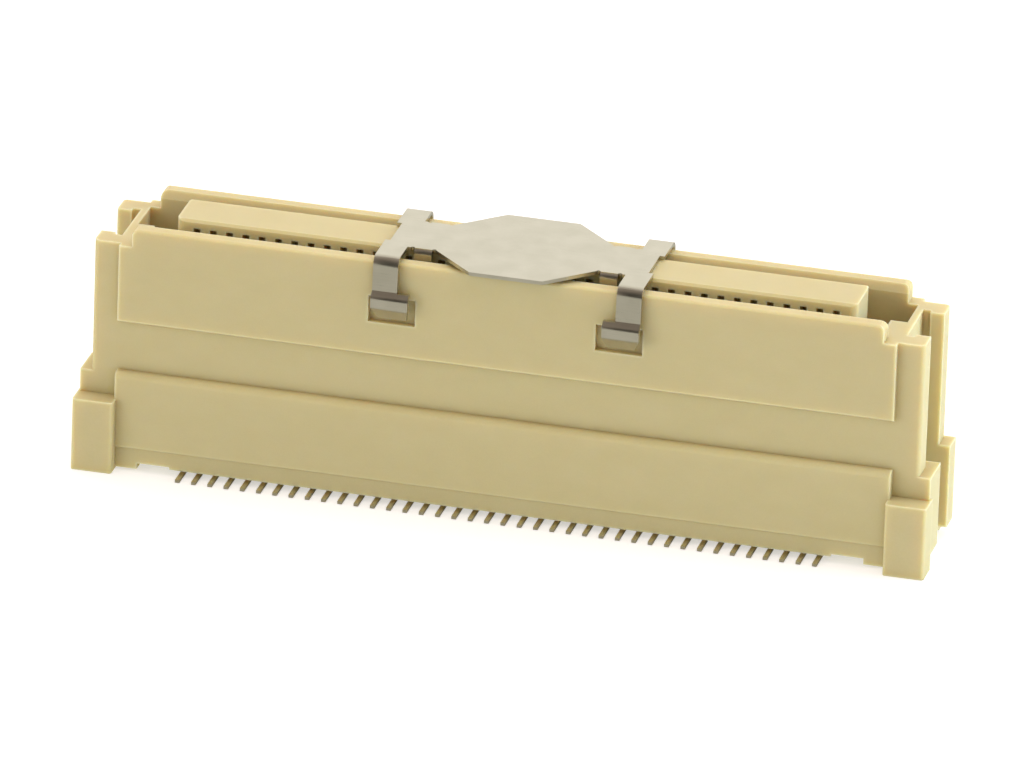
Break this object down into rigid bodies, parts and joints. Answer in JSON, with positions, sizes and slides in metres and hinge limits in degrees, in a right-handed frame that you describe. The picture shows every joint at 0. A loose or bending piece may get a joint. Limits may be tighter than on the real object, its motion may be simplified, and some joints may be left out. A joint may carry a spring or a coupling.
{
  "type": "mezzanine connector",
  "caption": "Tall surface-mount board-to-board connector: moulded shroud with a central tongue, formed contacts in two rows with gull-wing tails, and a clip-on metal pick-up cover.",
  "frame": {"origin": "centre of the footprint on the board plane, where feet and tails rest", "axes": "+X along the contact rows, +Y across them to the rear row, +Z away from the board towards the mating mouth"},
  "size_m": [0.0418, 0.0074, 0.0127],
  "materials": {
    "housing_plastic": "fine satin moulded surface, natural beige liquid-crystal polymer",
    "cover_steel": "rolled stainless sheet with a faint grain, sheared edges",
    "contact_alloy": "plated copper alloy, dull tin on the tails"
  },
  "bodies": {
    "connector": {"housing": "housing_plastic", "contact_pair_01": "contact_alloy", "contact_pair_02": "contact_alloy", "contact_pair_03": "contact_alloy", "contact_pair_04": "contact_alloy", "contact_pair_05": "contact_alloy", "contact_pair_06": "contact_alloy", "contact_pair_07": "contact_alloy", "contact_pair_08": "contact_alloy", "contact_pair_09": "contact_alloy", "contact_pair_10": "contact_alloy", "contact_pair_11": "contact_alloy", "contact_pair_12": "contact_alloy", "contact_pair_13": "contact_alloy", "contact_pair_14": "contact_alloy", "contact_pair_15": "contact_alloy", "contact_pair_16": "contact_alloy", "contact_pair_17": "contact_alloy", "contact_pair_18": "contact_alloy", "contact_pair_19": "contact_alloy", "contact_pair_20": "contact_alloy", "contact_pair_21": "contact_alloy", "contact_pair_22": "contact_alloy", "contact_pair_23": "contact_alloy", "contact_pair_24": "contact_alloy", "contact_pair_25": "contact_alloy", "contact_pair_26": "contact_alloy", "contact_pair_27": "contact_alloy", "contact_pair_28": "contact_alloy", "contact_pair_29": "contact_alloy", "contact_pair_30": "contact_alloy", "contact_pair_31": "contact_alloy", "contact_pair_32": "contact_alloy", "contact_pair_33": "contact_alloy", "contact_pair_34": "contact_alloy", "contact_pair_35": "contact_alloy", "contact_pair_36": "contact_alloy", "contact_pair_37": "contact_alloy", "contact_pair_38": "contact_alloy", "contact_pair_39": "contact_alloy", "contact_pair_40": "contact_alloy"},
    "cover": {"pickup_cover": "cover_steel"}
  },
  "joints": [
    {"name": "cover_lift", "type": "slide", "parent": "connector", "child": "cover", "axis": [0, 0, 1], "range_m": [0, 0.004]}
  ]
}
